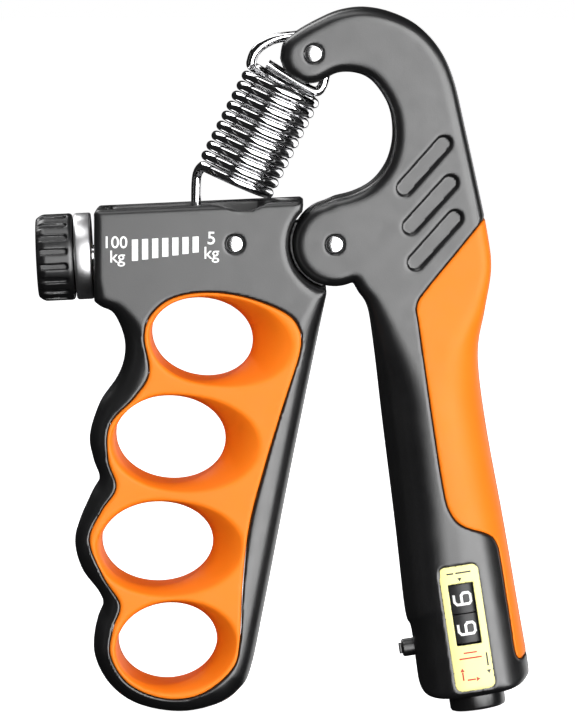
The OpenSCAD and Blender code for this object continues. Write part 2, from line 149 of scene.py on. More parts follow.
class Outline:
    """Signed distance to a closed loop, negative inside, kept on a fine grid."""

    margin = 18                 # of grid round the loop
    step = 0.3

    def __init__(self, loop):
        loop = np.array(loop, float)
        self.low = loop.min(0) - self.margin
        shape = np.ceil((loop.max(0) + self.margin - self.low) / self.step).astype(int) + 1
        x = (self.low[0] + self.step * np.arange(shape[0]))[:, None]
        z = (self.low[1] + self.step * np.arange(shape[1]))[None, :]
        near = np.full(shape, 1e9)
        inside = np.zeros(shape, bool)
        for a, b in zip(loop, np.roll(loop, -1, 0)):
            d = b - a
            if d @ d < 1e-12:
                continue
            t = np.clip(((x - a[0]) * d[0] + (z - a[1]) * d[1]) / (d @ d), 0, 1)
            near = np.minimum(near, (x - a[0] - t * d[0])**2 + (z - a[1] - t * d[1])**2)
            if a[1] != b[1]:
                inside ^= ((a[1] > z) != (b[1] > z)) & (x < a[0] + (z - a[1]) * d[0] / d[1])
        self.grid = np.where(inside, -1, 1) * np.sqrt(near)

    def __call__(self, x, z):
        u = np.clip((x - self.low[0]) / self.step, 0, self.grid.shape[0] - 1.001)
        v = np.clip((z - self.low[1]) / self.step, 0, self.grid.shape[1] - 1.001)
        i, j = u.astype(int), v.astype(int)
        u, v, g = u - i, v - j, self.grid
        near = g[i, j] * (1 - u) + g[i + 1, j] * u
        far = g[i, j + 1] * (1 - u) + g[i + 1, j + 1] * u
        return near * (1 - v) + far * v


LOBE = arc(10.4, 294, 104, 30)
SOCKET = arc(10.95, 260, 134, 20)   # hollow in the finger handle round the lobe
HOUSING_TOP = [(-7.4, 9.9), (-8.1, 10.5), (-56.5, 8.3), (-57.3, 7.5)]
finger_edge = Outline(curve(FINGER_BACK) + SOCKET + HOUSING_TOP)
insert_edge = Outline(curve(INSERT_EDGE, closed=True))
palm_edge = Outline(curve(HORN_BACK + HEEL + PALM_FRONT) + LOBE + curve(HORN_THROAT))
palm_sides = Outline(curve(HORN_BACK + HEEL_OPEN + PALM_FRONT) + LOBE + curve(HORN_THROAT))
pad_edge = Outline(curve(PAD_LEFT) + [(60, -98), (60, 7.4)])
tongue_edge = Outline([(-14, 3), (-6, 6.6)] + arc(8.8, 130, -95, 30) + [(-6, -13), (-14, -13)])
gap_edge = Outline([(0, 9.2), (-9, 22), (-30, 10), (-30, -30), (4.6, -18)] + arc(9.2, -62, 88, 24))
clevis_edge = Outline([(-20, 34), (2.4, 34)] + arc(7, 0, 90, 10, (-4.6, 45.4)) + [(-20, 52.4)])

# ---- solid fields --------------------------------------------------------------------------

# A field is negative inside the solid. The last argument of smax and smin is a rounding in mm.


def smax(a, b, k):
    """The larger of two fields, rounded over k."""
    h = np.clip(0.5 + 0.5 * (a - b) / k, 0, 1)
    return b + (a - b) * h + k * h * (1 - h)


def smin(a, b, k):
    """The smaller of two fields, rounded over k."""
    return -smax(-a, -b, k)


def ease(start, end, value):
    """A smooth step from 0 at start to 1 at end."""
    t = np.clip((value - start) / (end - start), 0, 1)
    return t * t * (3 - 2 * t)


def rounded(d, y, half, radius, depth=None):
    """A plate of outline d, its edges rounded by radius in the outline and depth in thickness."""
    depth = radius if depth is None else depth
    u = np.maximum(d + radius, 0) / radius
    v = np.maximum(np.abs(y) - (half - depth), 0) / depth
    return (np.hypot(u, v) - 1) * np.minimum(radius, depth)


def bar(x, z, a, b, radius):
    """Distance to a stadium from a to b."""
    d = np.subtract(b, a)
    t = np.clip(((x - a[0]) * d[0] + (z - a[1]) * d[1]) / (d @ d), 0, 1)
    return np.hypot(x - a[0] - t * d[0], z - a[1] - t * d[1]) - radius


def box_field(p, low, high, radius=0.5):
    """Distance to a box with rounded edges, p being three coordinate arrays."""
    q = [np.abs(c - (a + b) / 2) - (b - a) / 2 + radius for c, a, b in zip(p, low, high)]
    outside = np.sqrt(sum(np.maximum(c, 0)**2 for c in q))
    return outside + np.minimum(np.maximum(np.maximum(q[0], q[1]), q[2]), 0) - radius


def turned(origin, x_axis):
    """Coordinates along x_axis and square to it in the plane of the handles."""
    c, s = x_axis

    def of(x, z):
        dx, dz = x - origin[0], z - origin[1]
        return dx * c + dz * s, -dx * s + dz * c
    return of


screw_axis = Vector(joints["knob_spin"]["axis"])
screw_at = local(joints["knob_spin"]["pos_m"])
on_screw = turned((screw_at[0], screw_at[2]), (screw_axis.x, screw_axis.z))
counter_axis = Vector(joints["units_wheel_turn"]["axis"])
counter_at = local(joints["units_wheel_turn"]["pos_m"])
on_counter = turned((counter_at[0], counter_at[2]), (counter_axis.z, -counter_axis.x))
COIL_LOW, COIL_HIGH = np.array((-24.1, 14.5)), np.array((-12.04, 38.4))
coil_way = (COIL_HIGH - COIL_LOW) / np.linalg.norm(COIL_HIGH - COIL_LOW)
on_coil = turned(COIL_LOW, (coil_way[1], -coil_way[0]))
WINDOW = (4.4, 2.95, 7.35)      # middle and half sizes of the counter's window
LABEL = (1, 4.85, 15.15, 1.7)   # middle, half sizes and corner radius of the label
SKIN = 0.06                     # half of the parting gap between two mouldings
SEAM = 0.03                     # half of the gap between the front and the rear shell
WELL_R, WELL_DEEP = 1.95, 2.4   # a screw's well
FAR = 20                        # further from the mid plane than any face

# ---- finger handle -------------------------------------------------------------------------

# rounding of the edge at the housing, and how much more of it the grip has
EDGE, EDGE_MORE = 1.8, 4.2
# hollow for the carriage and the open trough above it: two corners along and above the screw
CARRIAGE_HOLLOW = ((12.1, -6.8, -5.8), (47.1, 6.8, 20))
TROUGH = ((13, -10.6, 5.2), (50, 10.6, 26))
# scoop in the top for the coil, which reaches a set distance round a core on the coil's axis:
# the core's radius, that distance, how far below the coil the core starts, the scoop's rear end
CORE_R, SCOOP_REACH, CORE_LOW, SCOOP_REAR = 8.8, 6.2, 0.8, 10.3
TONGUE_HALF = 4
PIVOT_BORE_R = 2.2
BUSH_R, BUSH_END = 5.5, 16      # bore at the knob's end
BOWL_DEEP = 10.5                # depth of a bowl at the rim of its finger opening
BOWL_WIDE = 6                   # a narrower bowl is shallower in proportion
BOWL_POWER = 1.35               # how hollow the slope of a bowl is


def bores(f, x, z, places, radius):
    """The field with round bores right through the thickness."""
    for place in places:
        f = smax(f, radius - np.hypot(x - place[0], z - place[1]), 0.35)
    return f


def screw_wells(f, x, y, z, places):
    """The field with sunk wells in the rear face."""
    for x0, z0, half in places:
        well = np.maximum(np.hypot(x - x0, z - z0) - WELL_R, half - WELL_DEEP - y)
        f = smax(f, -well, 0.3)
    return f


def finger_body(x, y, z):
    """The finger handle with its tongue, before it is split in two."""
    f = rounded(finger_edge(x, z), y, ARM_HALF, EDGE + EDGE_MORE * ease(-7, -24, z))
    u, w = on_screw(x, z)
    f = smax(f, -box_field((u, y, w), *CARRIAGE_HOLLOW), 0.4)
    f = smax(f, -box_field((u, y, w), *TROUGH, 1.5), 0.6)
    side, along = on_coil(x, z)
    out = np.maximum(np.hypot(side, y) - CORE_R, 0)
    scoop = np.hypot(out, np.minimum(along + CORE_LOW, 0)) - SCOOP_REACH
    f = smax(f, -smax(scoop, y - SCOOP_REAR, 0.6), 0.8)
    f = smin(f, np.maximum(tongue_edge(x, z), np.abs(y) - TONGUE_HALF), 0.2)
    f = smax(f, PIVOT_BORE_R - np.hypot(x, z), 0.2)
    f = smax(f, SKIN - insert_edge(x, z), 0.45)
    f = smax(f, -np.maximum(np.hypot(y, w) - BUSH_R, u - BUSH_END), 0.2)
    f = bores(f, x, z, [RIVET], PIN_R + PIN_GAP)
    return screw_wells(f, x, y, z, FINGER_SCREWS)


def ellipse_level(x, z, centre, half, tilt):
    """Zero on a tilted ellipse, -1 at its centre."""
    c, s = math.cos(math.radians(tilt)), math.sin(math.radians(tilt))
    u, v = turned(centre, (c, s))(x, z)
    return np.hypot(u / half[0], v / half[1]) - 1


def grip_insert(x, y, z):
    """The insert: a bowl falls away from each finger opening's rim, on both faces."""
    f = np.abs(y) - ARM_HALF
    edge = insert_edge(x, z)
    for centre, half, tilt, bowl_centre, bowl_half in FINGER_HOLES:
        hole = ellipse_level(x, z, centre, half, tilt) * min(half)
        bowl = -ellipse_level(x, z, bowl_centre, bowl_half, tilt * 0.7) * min(bowl_half)
        width = np.clip(hole, 0, None) + np.clip(bowl, 1e-3, None)
        share = np.clip(hole, 0, None) / width
        depth = BOWL_DEEP * np.clip(width / BOWL_WIDE, 0.06, 1) * (1 - share)**BOWL_POWER * (bowl > 0)
        f = smax(f, (np.abs(y) - (ARM_HALF - depth)) * 0.6, 0.3)
        wall = np.clip(hole, 0, None) - edge
        f = smax(f, -hole, np.clip(wall * 0.5, 0.25, 1.5))
    return smax(f, edge + SKIN, 0.6)


# ---- palm handle ---------------------------------------------------------------------------

PLATE_EDGE, GRIP_MORE = 2.8, 9.8   # rounding of the plate's edge, and how much more the grip has
HEEL_EDGE = 3.4
PAD_POCKET, PAD_THICK = 2.4, 2.3
LABEL_POCKET, LABEL_THICK = 0.35, 0.33
GAP_HALF, CLEVIS_HALF = 4.6, 1.75  # slots for the finger handle's tongue and the spring's hook
# bores on the counter's axis, each its radius, middle, half length and rounding
COUNTER_BORES = [(9.3, 2.2, 11.2, 0.2), (6.95, -15, 8, 0.5), (6, 42, 29, 0.3)]
BUTTON_AT = -2.8                # the button's place along the counter's axis
BUTTON_BORE_R, BUTTON_BORE_END = 2.35, -5
SLOT_R, SLOT_DEEP = 1.8, 1


def palm_solid(x, y, z):
    """The whole palm handle before its pockets: a plate above that turns into an oval grip."""
    grip = ease(-4, -40, z)
    half = PLATE_HALF + (GRIP_HALF - PLATE_HALF) * grip
    depth = PLATE_EDGE + (half - 3.2) * grip
    oval = rounded(palm_sides(x, z), y, half, PLATE_EDGE + GRIP_MORE * grip, depth)
    return smax(oval, rounded(palm_edge(x, z), y, half, HEEL_EDGE), 1.2)


def label_edge(u, w):
    """Distance to the label's outline in the counter's coordinates."""
    middle, half_u, half_w, radius = LABEL
    across = np.maximum(np.abs(u) - half_u + radius, 0)
    along = np.maximum(np.abs(w - middle) - half_w + radius, 0)
    return np.hypot(across, along) - radius


def palm_body(x, y, z):
    """The palm handle with its pockets, before it is split in two."""
    f = palm_solid(x, y, z)
    u, w = on_counter(x, z)
    pad = np.maximum(pad_edge(x, z) - SKIN, -(f + PAD_POCKET))
    label = np.maximum(np.maximum(label_edge(u, w) - SKIN, -(f + LABEL_POCKET)), y)
    f = smax(f, -pad, 0.4)
    f = smax(f, -label, 0.25)
    f = smax(f, -np.maximum(gap_edge(x, z), np.abs(y) - GAP_HALF), 0.3)
    f = smax(f, -np.maximum(clevis_edge(x, z), np.abs(y) - CLEVIS_HALF), 0.5)
    out = np.hypot(u, y - counter_at[1])
    for radius, middle, half, edge in COUNTER_BORES:
        f = smax(f, -np.maximum(out - radius, np.abs(w - middle) - half), edge)
    middle, half_u, half_w = WINDOW
    window = box_field((u, y, w), (-half_u, -FAR, middle - half_w), (half_u, -4, middle + half_w), 0.2)
    f = smax(f, -window, 0.2)
    button = np.maximum(np.hypot(y, w - BUTTON_AT) - BUTTON_BORE_R, u - BUTTON_BORE_END)
    f = smax(f, -button, 0.4)
    for a, b in FACE_SLOTS:
        f = smax(f, -np.maximum(bar(x, z, a, b, SLOT_R), PLATE_HALF - SLOT_DEEP - np.abs(y)), 0.7)
    f = bores(f, x, z, [HORN_PIN, (0, 0)], PIN_R + PIN_GAP)
    return screw_wells(f, x, y, z, PALM_SCREWS)


def palm_pad(x, y, z):
    """The pad let into the palm handle."""
    f = palm_solid(x, y, z)
    return smax(smax(f, pad_edge(x, z) + SKIN, 0.5), -(f + PAD_THICK), 0.2)


def counter_label(x, y, z):
    """The label let into the palm handle's front, with the window cut out."""
    f = palm_solid(x, y, z)
    u, w = on_counter(x, z)
    middle, half_u, half_w = WINDOW
    window = np.maximum(np.abs(u) - half_u, np.abs(w - middle) - half_w)
    q = np.maximum(label_edge(u, w), -window)
    return np.maximum(smax(f, q + SKIN, 0.15), np.maximum(-(f + LABEL_THICK), y + 3))


def front_half(field):
    """The part of a solid in front of the mid plane."""
    return lambda x, y, z: smax(field(x, y, z), y + SEAM, 0.35)


def rear_half(field):
    """The part of a solid behind the mid plane."""
    return lambda x, y, z: smax(field(x, y, z), SEAM - y, 0.35)


# ---- meshes --------------------------------------------------------------------------------


def mesh_object(name, verts, faces, material, smooth=True):
    """A piece from points in mm about the pivot."""
    mesh = bpy.data.meshes.new(name)
    points = np.asarray(verts) * MM + np.array(PIVOT)
    mesh.from_pydata([tuple(p) for p in points], [], [tuple(f) for f in faces])
    mesh.validate()
    mesh.update()
    mesh.materials.append(material)
    mesh.polygons.foreach_set("use_smooth", [smooth] * len(mesh.polygons))
    piece = bpy.data.objects.new(name, mesh)
    bpy.context.scene.collection.objects.link(piece)
    return piece


NUDGE = 0.02                    # for measuring the slope of a field
RELAX = 3                       # times the points are moved towards the true surface


def polygonise(name, field, low, high, material, step=STEP):
    """Surface nets on a grid, then moved onto the true surface."""
    low, high = np.array(low, float), np.array(high, float)
    shape = np.ceil((high - low) / step).astype(int) + 1
    axes = [low[i] + step * np.arange(shape[i]) for i in range(3)]
    f = field(axes[0][:, None, None], axes[1][None, :, None], axes[2][None, None, :])
    f = np.broadcast_to(f, shape).astype(np.float64)
    cells = tuple(shape - 1)
    total, count = np.zeros(cells + (3,)), np.zeros(cells, int)
    crossings = []
    for axis in range(3):
        start = [slice(None)] * 3
        end = [slice(None)] * 3
        start[axis], end[axis] = slice(0, -1), slice(1, None)
        a, b = f[tuple(start)], f[tuple(end)]
        where = np.argwhere((a < 0) != (b < 0))
        fa, fb = a[tuple(where.T)], b[tuple(where.T)]
        points = where.astype(float)
        points[:, axis] += fa / (fa - fb)
        one, two = (axis + 1) % 3, (axis + 2) % 3
        inner = (where[:, one] > 0) & (where[:, two] > 0)
        inner &= (where[:, one] < shape[one] - 1) & (where[:, two] < shape[two] - 1)
        where, points, inward = where[inner], points[inner], fa[inner] < 0
        ring = []
        for da, db in ((0, 0), (1, 0), (1, 1), (0, 1)):
            cell = where.copy()
            cell[:, one] -= da
            cell[:, two] -= db
            np.add.at(total, tuple(cell.T), points)
            np.add.at(count, tuple(cell.T), 1)
            ring.append(np.ravel_multi_index(cell.T, cells))
        crossings.append((np.stack(ring, 1), inward))
    used = np.flatnonzero(count)
    index = np.full(count.size, -1)
    index[used] = np.arange(len(used))
    verts = low + step * total.reshape(-1, 3)[used] / count.reshape(-1)[used][:, None]
    quads = [np.where(inward[:, None], ring[:, ::-1], ring) for ring, inward in crossings]
    quads = index[np.concatenate(quads)]
    for _ in range(RELAX):
        x, y, z = verts.T
        value = field(x, y, z)
        nudged = ((x + NUDGE, y, z), (x, y + NUDGE, z), (x, y, z + NUDGE))
        slope = np.stack([field(*at) - value for at in nudged], 1) / NUDGE
        size = np.maximum((slope**2).sum(1), 0.05)
        move = -(value / size)[:, None] * slope
        far = np.linalg.norm(move, axis=1, keepdims=True)
        verts = verts + move * np.minimum(1, 0.35 * step / np.maximum(far, 1e-9))
    return mesh_object(name, verts, quads, material)


def ring_object(name, verts, sides, material, sharp):
    """A piece from rings of points, capped at both ends, with edges over an angle left sharp."""
    rings = len(verts) // sides
    faces = []
    for i in range(rings - 1):
        for k in range(sides):
            n = (k + 1) % sides
            faces.append((i * sides + k, i * sides + n, (i + 1) * sides + n, (i + 1) * sides + k))
    faces.append(tuple(range(sides))[::-1])
    faces.append(tuple((rings - 1) * sides + k for k in range(sides)))
    piece = mesh_object(name, verts, faces, material)
    piece.data.set_sharp_from_angle(angle=math.radians(sharp))
    return piece


def lathe(name, profile, centre, axis, material, sides=64):
    """A turned piece: profile is (distance along the axis, radius), the centre in mm."""
    turn = Vector((0, 0, 1)).rotation_difference(Vector(axis)).to_matrix()
    verts = []
    for along, radius in profile:
        for k in range(sides):
            a = 2 * math.pi * k / sides
            point = turn @ Vector((radius * math.cos(a), radius * math.sin(a), along))
            verts.append(np.array(point) + centre)
    return ring_object(name, verts, sides, material, 38)


ASIDE = (0.3, 1, 0.2)           # a direction that neither wire starts along


def tube(name, path, radius, material, sides):
    """A round wire along a path in mm, with closed ends."""
    path = np.array(path, float)
    tangent = np.gradient(path, axis=0)
    tangent /= np.linalg.norm(tangent, axis=1, keepdims=True)
    normal = np.cross(tangent[0], ASIDE)
    verts = []
    for point, way in zip(path, tangent):
        normal = normal - way * (normal @ way)
        normal /= np.linalg.norm(normal)
        other = np.cross(way, normal)
        for k in range(sides):
            a = 2 * math.pi * k / sides
            verts.append(point + radius * (math.cos(a) * normal + math.sin(a) * other))
    return ring_object(name, verts, sides, material, 50)


# ---- materials -----------------------------------------------------------------------------


CLOUDS = 60                     # noise scale of the slow change in colour; the gloss changes 4 x faster
BUMP_DEEP = 0.0002


def surface(name, colour, roughness, spread, grain, bump, metallic=0, **sockets):
    """Principled with mottled roughness, slight colour change and a fine bump."""
    material = bpy.data.materials.new(name)
    material.use_nodes = True
    tree = material.node_tree
    shader = tree.nodes["Principled BSDF"]
    shader.inputs["Metallic"].default_value = metallic
    for socket, value in sockets.items():
        shader.inputs[socket.replace("_", " ")].default_value = value
    place = tree.nodes.new("ShaderNodeTexCoord").outputs["Object"]

    def noise(scale, detail):
        node = tree.nodes.new("ShaderNodeTexNoise")
        node.inputs["Scale"].default_value = scale
        node.inputs["Detail"].default_value = detail
        tree.links.new(place, node.inputs["Vector"])
        return node.outputs["Fac"]

    def remap(value, low, high):
        node = tree.nodes.new("ShaderNodeMapRange")
        node.inputs["From Min"].default_value = 0.3
        node.inputs["From Max"].default_value = 0.7
        node.inputs["To Min"].default_value = low
        node.inputs["To Max"].default_value = high
        tree.links.new(value, node.inputs["Value"])
        return node.outputs["Result"]

    tint = tree.nodes.new("ShaderNodeMix")
    tint.data_type = "RGBA"
    tint.inputs[6].default_value = (*[c * (1 - spread) for c in colour], 1)
    tint.inputs[7].default_value = (*[min(1, c * (1 + spread)) for c in colour], 1)
    tree.links.new(remap(noise(CLOUDS, 3), 0, 1), tint.inputs[0])
    tree.links.new(tint.outputs[2], shader.inputs["Base Color"])
    gloss = remap(noise(CLOUDS * 4, 4), roughness * 0.92, roughness * 1.1)
    tree.links.new(gloss, shader.inputs["Roughness"])
    relief = tree.nodes.new("ShaderNodeBump")
    relief.inputs["Strength"].default_value = bump
    relief.inputs["Distance"].default_value = BUMP_DEEP
    tree.links.new(noise(grain, 2), relief.inputs["Height"])
    tree.links.new(relief.outputs["Normal"], shader.inputs["Normal"])
    return material


DARK = (0.008, 0.008, 0.0085)
black = surface("satin black nylon", DARK, 0.34, spread=0.2, grain=3200, bump=0.05,
                Specular_IOR_Level=1.0)
knob_black = surface("knob black", DARK, 0.32, spread=0.2, grain=3200, bump=0.05,
                     Specular_IOR_Level=1.0)
orange = surface("orange elastomer", (0.9, 0.2, 0.008), 0.5, spread=0.03, grain=3200, bump=0.06,
                 Specular_IOR_Level=0.3)
chrome = surface("spring chrome", (0.88, 0.88, 0.89), 0.1, spread=0.02, grain=260, bump=0.006,
                 metallic=1)
trim = surface("knob trim", (0.9, 0.9, 0.91), 0.36, spread=0.02, grain=1400, bump=0.02, metallic=1)
steel = surface("bright steel", (0.78, 0.78, 0.79), 0.2, spread=0.04, grain=1800, bump=0.08, metallic=1)
brass = surface("turned brass", (0.72, 0.5, 0.2), 0.27, spread=0.06, grain=1600, bump=0.08, metallic=1)
nylon = surface("grey nylon", (0.2, 0.2, 0.21), 0.45, spread=0.06, grain=1500, bump=0.12)
yellow = surface("label film", (0.93, 0.86, 0.34), 0.3, spread=0.02, grain=1800, bump=0.03)
wheel_black = surface("wheel black", (0.012, 0.012, 0.013), 0.4, spread=0.1, grain=2200, bump=0.1)
white_ink = surface("white ink", (0.93, 0.93, 0.93), 0.4, spread=0.01, grain=2500, bump=0.03)
black_ink = surface("black ink", (0.02, 0.02, 0.02), 0.5, spread=0.05, grain=2500, bump=0.03)
red_ink = surface("red ink", (0.5, 0.035, 0.02), 0.5, spread=0.05, grain=2500, bump=0.03)

SLOTS = {
    "black_plastic": black, "orange_rubber": orange, "chrome_trim": trim, "spring_chrome": chrome,
    "bright_steel": steel, "brass": brass, "grey_nylon": nylon, "yellow_label": yellow,
    "wheel_plastic": wheel_black}
slot_of = {s["node"]: s["material_slot"] for s in frame["record"]["subparts"]}
body_of = {n: b for b, nodes in frame["record"]["behaviour"]["bodies"].items() for n in nodes}
for node, cad in frame["nodes"].items():
    for slot in cad.material_slots:
        slot.material = SLOTS[slot_of[node]]


def stands_for(piece, node):
    """The piece replaces a CAD node: it rides on that node's body, and the node is hidden."""
    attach(piece, body_of[node])
    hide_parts(node)


def rides(piece, body):
    """The piece rides on a body and replaces no CAD node."""
    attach(piece, body)


def moulding(name, node, field, box, material, step=STEP):
    """A piece from a field inside a box, in place of a CAD node."""
    stands_for(polygonise(name, field, *box, material, step), node)


# ---- handles -------------------------------------------------------------------------------

FINGER_BOX = ((-64, -14, -114), (10.5, 14, 12.5))
PALM_BOX = ((-15.5, -14, -111), (50, 14, 58.5))
INSERT_BOX = ((-60, -14, -111), (-6, 14, -9))
PAD_BOX = ((17, -14, -102), (50, 14, 10))
LABEL_BOX = ((25, -14, -109), (39, -8, -76))
PAST_MIDDLE = 1.2               # how far a half's box goes past the mid plane
Y = (0, 1, 0)


def front_of(box):
    """The front half of a box."""
    return box[0], (box[1][0], PAST_MIDDLE, box[1][2])


def rear_of(box):
    """The rear half of a box."""
    return (box[0][0], -PAST_MIDDLE, box[0][2]), box[1]


def shells(handle, body, box):
    """The front and the rear shell of a handle."""
    moulding(handle + "_front", handle + "_front_shell", front_half(body), front_of(box), black)
    moulding(handle + "_rear", handle + "_rear_shell", rear_half(body), rear_of(box), black)


shells("finger_handle", finger_body, FINGER_BOX)
moulding("finger_insert", "finger_grip_insert", grip_insert, INSERT_BOX, orange)
shells("palm_handle", palm_body, PALM_BOX)
moulding("palm_pad", "palm_grip_pad", palm_pad, PAD_BOX, orange)
moulding("label_film", "counter_label", counter_label, LABEL_BOX, yellow, step=0.25)


def pin_across(name, node, place, half):
    """A pin through a handle, its ends slightly domed."""
    end = [(half, 0.01), (half - 0.02, PIN_R * 0.4), (half - 0.1, PIN_R * 0.8),
           (half - 0.2, PIN_R * 0.92), (half - 0.45, PIN_R)]
    profile = [(-a, r) for a, r in end] + [(a, r) for a, r in end[::-1]]
    stands_for(lathe(name, profile, np.array((place[0], 0, place[1])), Y, steel), node)


pin_across("pivot_pin_turned", "pivot_pin", (0, 0), PLATE_HALF - PIN_SUNK)
pin_across("horn_pin_turned", "horn_pin", HORN_PIN, PLATE_HALF - PIN_SUNK)
pin_across("rivet_turned", "arm_rivet", RIVET, ARM_HALF - PIN_SUNK)

# ---- adjuster ------------------------------------------------------------------------------

KNOB_BOX = ((-73, -12, -16), (-60, 12, 9))
KNOB_R, KNOB_MIDDLE, KNOB_HALF = 10.4, -0.25, 4.45
TAPER_END, TAPER = -3.2, 0.7    # the knob narrows towards its outer end from here
GROOVES = 18
GROOVE_HALF, GROOVE_DEEP, GROOVE_END = 0.72, 0.6, 2.1
CAP_R, CAP_BACK = 7.4, -3.9     # recess for the end cap
# turned pieces on the screw's axis: distance along it and radius
KNOB_CAP = [
    (-4.1, 0.01), (-4.1, 7.1), (-4.45, 7.1), (-4.75, 6.7), (-4.75, 2.2), (-4.6, 2.0), (-4.6, 0.01)]
KNOB_RING = [
    (4.5, 2.7), (4.5, 10.0), (4.8, 10.3), (5.1, 10.38), (8.0, 10.38), (8.3, 10.3), (8.5, 10.1),
    (8.5, 2.7)]
SCREW_HEAD = [(-3.9, 0.01), (-3.9, 2.6), (13.6, 2.6)]
SCREW_TAIL = [(38.8, 2.5), (38.8, 1.8), (40.2, 1.8), (40.2, 0.01)]
THREAD = (14, 38.5)
CREST_R, ROOT_R = 2.58, 2.15


def knob_field(x, y, z):
    """The knob: a drum with grooves along it and a recess in its outer end."""
    u, w = on_screw(x, z)
    r = np.hypot(y, w)
    f = smax(r - KNOB_R, np.abs(u - KNOB_MIDDLE) - KNOB_HALF, 1.1)
    f = smax(f, r - KNOB_R - (u - TAPER_END) * TAPER, 0.5)
    a = np.arctan2(y, w)
    a = (a + math.pi / GROOVES) % (2 * math.pi / GROOVES) - math.pi / GROOVES
    groove = np.hypot(r * np.sin(a), np.maximum(u - GROOVE_END, 0)) - GROOVE_HALF
    f = smax(f, -np.maximum(groove, KNOB_R - GROOVE_DEEP - r), 0.25)
    return smax(f, -np.maximum(r - CAP_R, u - CAP_BACK), 0.4)


moulding("knob", "adjuster_knob", knob_field, KNOB_BOX, knob_black, step=0.3)
stands_for(lathe("knob_cap", KNOB_CAP, screw_at, screw_axis, knob_black), "knob_end_cap")
stands_for(lathe("knob_ring", KNOB_RING, screw_at, screw_axis, trim), "knob_collar")
crests = [(u + at, r) for u in np.arange(*THREAD, 1) for at, r in ((0, CREST_R), (0.5, ROOT_R))]
screw_profile = SCREW_HEAD + crests + SCREW_TAIL
stands_for(lathe("threaded_screw", screw_profile, screw_at, screw_axis, steel, 32), "lead_screw")

# ---- spring --------------------------------------------------------------------------------

WIRE_R, COIL_R, TURNS = 1.2, 8.7, 10
COIL_STEP = 18                  # degrees between points of the coil
WIRE_STEP = 0.45                # between rings of the wire
HOOK_AT, HOOK_R = np.array((-30.3, 6.45)), 2.8
TOP_HOOK = [
    (-19.9, 42.7), (-19.3, 44.9), (-17.5, 47), (-14.3, 48.7), (-10.5, 49.3), (-6.4, 49.5),
    (-3.1, 48.5), (-1.5, 46), (-1.5, 43), (-2.2, 39.7), (-2.9, 37.3), (-4.3, 36.1), (-6.4, 36.8),
    (-11, 39.6), (-16, 42.7)]


def coil_point(turn):
    """A point of the coil, turn being in degrees from its left side, towards the viewer."""
    side = -COIL_R * math.cos(math.radians(turn))
    x, z = COIL_LOW + (COIL_HIGH - COIL_LOW) * turn / (360 * TURNS)
    return (x + side * coil_way[1], -COIL_R * math.sin(math.radians(turn)), z - side * coil_way[0])


def smooth_path(points):
    """Even points along a smooth curve through the given ones."""
    dense = np.array(curve(points, 24))
    length = np.concatenate([[0], np.cumsum(np.linalg.norm(np.diff(dense, axis=0), axis=1))])
    want = np.linspace(0, length[-1], int(length[-1] / WIRE_STEP))
    return np.stack([np.interp(want, length, dense[:, i]) for i in range(3)], 1)


lower_hook = [(p[0], 0, p[1]) for p in arc(HOOK_R, 25, -180, 8, HOOK_AT)]
shank = [(-33.1, 0, 10.5), (-33, 0, 14.4), (-32.6, -0.6, 16.8)]
coil = [coil_point(t) for t in range(COIL_STEP, 360 * TURNS - 10, COIL_STEP)]
upper_hook = [(p[0], 0, p[1]) for p in curve(TOP_HOOK, 2)]
path = smooth_path(lower_hook + shank + coil + upper_hook)


def reaches(piece, low_place, low_body, high_place, high_body):
    """The piece stretches between a point on one body and a point on another."""
    low_end = bpy.data.objects.new(piece.name + "_low_end", None)
    high_end = bpy.data.objects.new(piece.name + "_high_end", None)
    for end, place in ((low_end, low_place), (high_end, high_place)):
        bpy.context.scene.collection.objects.link(end)
        end.location = PIVOT + Vector(place) * MM
    reach = high_end.location - low_end.location
    low_end.rotation_mode = "QUATERNION"
    low_end.rotation_quaternion = reach.to_track_quat("Y", "Z")
    bpy.context.view_layer.update()
    world = piece.matrix_world.copy()
    piece.parent = low_end
    piece.matrix_parent_inverse = low_end.matrix_world.inverted()
    piece.matrix_world = world
    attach(high_end, high_body)
    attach(low_end, low_body)
    stretch = low_end.constraints.new("STRETCH_TO")
    stretch.target = high_end
    stretch.rest_length = reach.length
    stretch.volume = "NO_VOLUME"
    stretch.keep_axis = "SWING_Y"


spring = tube("spring_wire", path, WIRE_R, chrome, sides=18)
reaches(spring, (HOOK_AT[0], 0, HOOK_AT[1]), "carriage", (HORN_PIN[0], 0, HORN_PIN[1]), "palm_arm")
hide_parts("main_spring")

# ---- counter -------------------------------------------------------------------------------

counter_x = Vector((counter_axis.z, 0, -counter_axis.x))
WHEEL_R = (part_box("tens_wheel")[1].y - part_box("tens_wheel")[0].y) / MM / 2
WHEEL_W = 6.9
WHEEL_GAP = 0.15                # from the window's middle to a wheel
DIGIT_TALL, DIGIT_WIDE, DIGIT_STROKE = 4.0, 2.7, 0.62
RULE_WIDE = 0.38
RIBBON_STEP = 0.25              # about how long a ribbon's quads are
LIFT, WHEEL_LIFT = 0.02, 0.03   # how far print stands off its surface
